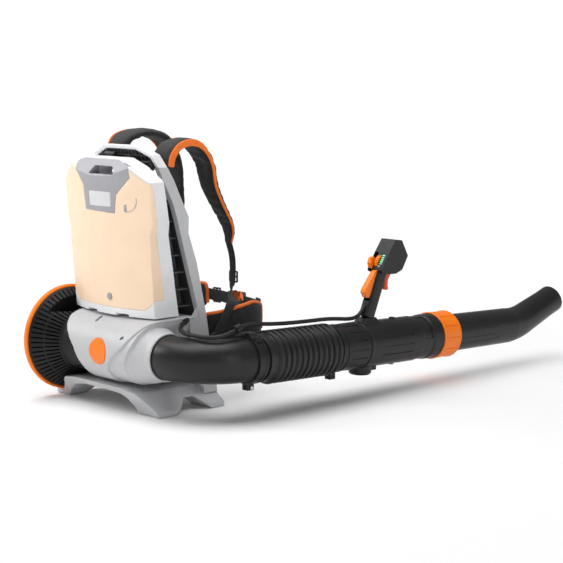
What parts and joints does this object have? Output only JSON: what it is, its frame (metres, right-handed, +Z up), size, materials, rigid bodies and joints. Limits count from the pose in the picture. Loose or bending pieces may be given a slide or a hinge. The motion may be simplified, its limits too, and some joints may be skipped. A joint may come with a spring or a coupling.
{
  "type": "backpack leaf blower",
  "caption": "Battery backpack leaf blower: axial fan with a round intake, elbow and ribbed hose, blower tube with control handle, battery on a framed back, padded harness.",
  "frame": {"origin": "middle of the whole object's footprint, on the floor that its feet stand on", "axes": "+Z up, +Y forward, the way the nozzle points and the wearer faces, +X to the wearer's right, the side of the blower tube"},
  "size_m": [0.5325, 1.2506, 0.5729],
  "materials": {
    "light_grey_shell": "satin moulded, fine texture",
    "white_shell": "satin moulded",
    "peach_shell": "satin moulded",
    "grey_panel": "satin moulded",
    "label_plate": "satin",
    "black_grille": "fine textured",
    "orange_shell": "satin",
    "red_orange_shell": "satin",
    "dark_frame": "matt",
    "black_tube": "satin, fine grain",
    "hose_rubber": "satin rubber",
    "cable_rubber": "matt rubber",
    "strap_fabric": "padded woven fabric with orange piping",
    "webbing": "ribbed webbing",
    "steel": "zinc plated",
    "motor_core": "laminated, varnished",
    "controller_case": "cast",
    "display_window": "lit green",
    "key_grey": "matt"
  },
  "bodies": {
    "backpack": {"base_frame": "light_grey_shell", "housing_rear": "light_grey_shell", "housing_front": "light_grey_shell", "rear_badge": "orange_shell", "cable_gland": "cable_rubber", "housing_screws": "steel", "intake_rim": "orange_shell", "intake_cap": "black_grille", "intake_grille": "black_grille", "intake_band": "black_grille", "duct_liner": "dark_frame", "stator_vanes": "dark_frame", "motor_stator": "motor_core", "shaft_bearings": "steel", "controller_box": "controller_case", "contact_plug": "dark_frame", "side_panel_right": "light_grey_shell", "side_panel_left": "light_grey_shell", "top_rim": "white_shell", "back_plate": "dark_frame", "rib_rails": "dark_frame", "latch_bracket": "light_grey_shell", "back_pads": "strap_fabric", "shoulder_strap_right": "strap_fabric", "shoulder_strap_left": "strap_fabric", "strap_webbing": "webbing", "hip_pad_right": "strap_fabric", "hip_pad_left": "strap_fabric", "belt_webbing": "webbing", "belt_buckle": "dark_frame", "cable_loop": "cable_rubber"},
    "fan": {"impeller": "dark_frame", "motor_shaft": "steel"},
    "battery": {"battery_rear_shell": "peach_shell", "battery_front_shell": "white_shell", "battery_handle_panel": "grey_panel", "battery_label": "label_plate", "battery_button": "grey_panel"},
    "latch": {"battery_latch": "dark_frame"},
    "elbow": {"elbow_tube": "black_tube", "clamp_rear": "black_tube", "clamp_screw": "steel", "cable_guide": "black_tube", "bellows_rear": "hose_rubber", "cable_hose_rear": "cable_rubber"},
    "hose_ring": {"bellows_ring": "black_tube"},
    "tube": {"bellows_front": "hose_rubber", "cable_hose_front": "cable_rubber", "clamp_front": "black_tube", "control_sleeve": "black_tube", "handle_grip": "black_tube", "control_head": "black_tube", "display_strip": "display_window"},
    "nut": {"union_nut": "orange_shell"},
    "nozzle": {"nozzle_tube": "black_tube"},
    "trigger": {"trigger": "red_orange_shell"},
    "lockout": {"lockout_lever": "orange_shell"},
    "lever": {"throttle_lever": "orange_shell"},
    "wheel": {"thumb_wheel": "orange_shell"},
    "mode_key": {"mode_button": "key_grey"}
  },
  "joints": [
    {"name": "fan_spin", "type": "hinge", "parent": "backpack", "child": "fan", "pos_m": [-0.07924, -0.51032, 0.125], "axis": [1, 0, 0], "continuous": true},
    {"name": "elbow_swivel", "type": "hinge", "parent": "backpack", "child": "elbow", "pos_m": [0.10276, -0.51032, 0.125], "axis": [1, 0, 0], "range_deg": [-30, 50], "deforming": ["cable_loop"]},
    {"name": "hose_bend_side", "type": "hinge", "parent": "elbow", "child": "hose_ring", "pos_m": [0.21076, -0.25944, 0.11712], "axis": [0, 0.0314, 0.9995], "range_deg": [-20, 20], "deforming": ["bellows_rear", "cable_hose_rear"]},
    {"name": "hose_bend_up", "type": "hinge", "parent": "hose_ring", "child": "tube", "pos_m": [0.21076, -0.25944, 0.11712], "axis": [1, 0, 0], "range_deg": [-15, 20], "deforming": ["bellows_front", "cable_hose_front"]},
    {"name": "nut_turn", "type": "hinge", "parent": "tube", "child": "nut", "pos_m": [0.21076, 0.18534, 0.10314], "axis": [0, 0.9995, -0.0314], "range_deg": [0, 60]},
    {"name": "nozzle_slide", "type": "slide", "parent": "tube", "child": "nozzle", "axis": [0, 0.9995, -0.0314], "range_m": [-0.08, 0]},
    {"name": "trigger_pull", "type": "hinge", "parent": "tube", "child": "trigger", "pos_m": [0.21076, 0.02038, 0.2664], "axis": [-1, 0, 0], "range_deg": [0, 12], "stiffness_Nm_per_rad": 0.5, "springref_deg": -17.19},
    {"name": "lockout_press", "type": "hinge", "parent": "tube", "child": "lockout", "pos_m": [0.21076, -0.01864, 0.26613], "axis": [1, 0, 0], "range_deg": [0, 10], "stiffness_Nm_per_rad": 0.5, "springref_deg": -17.19},
    {"name": "throttle_swing", "type": "hinge", "parent": "tube", "child": "lever", "pos_m": [0.21076, 0.0014, 0.283], "axis": [1, 0, 0], "range_deg": [-15, 15]},
    {"name": "wheel_turn", "type": "hinge", "parent": "tube", "child": "wheel", "pos_m": [0.21076, 0.0014, 0.283], "axis": [1, 0, 0], "range_deg": [-60, 60]},
    {"name": "mode_press", "type": "slide", "parent": "tube", "child": "mode_key", "axis": [0, 0.8368, -0.5476], "range_m": [0, 0.0015], "stiffness_N_per_m": 300, "springref_m": -0.002},
    {"name": "battery_slide", "type": "slide", "parent": "backpack", "child": "battery", "axis": [0, -0.153, 0.9882], "range_m": [0, 0.36]},
    {"name": "latch_turn", "type": "hinge", "parent": "backpack", "child": "latch", "pos_m": [0.02876, -0.47232, 0.446], "axis": [0, 1, 0], "range_deg": [0, 40]}
  ]
}
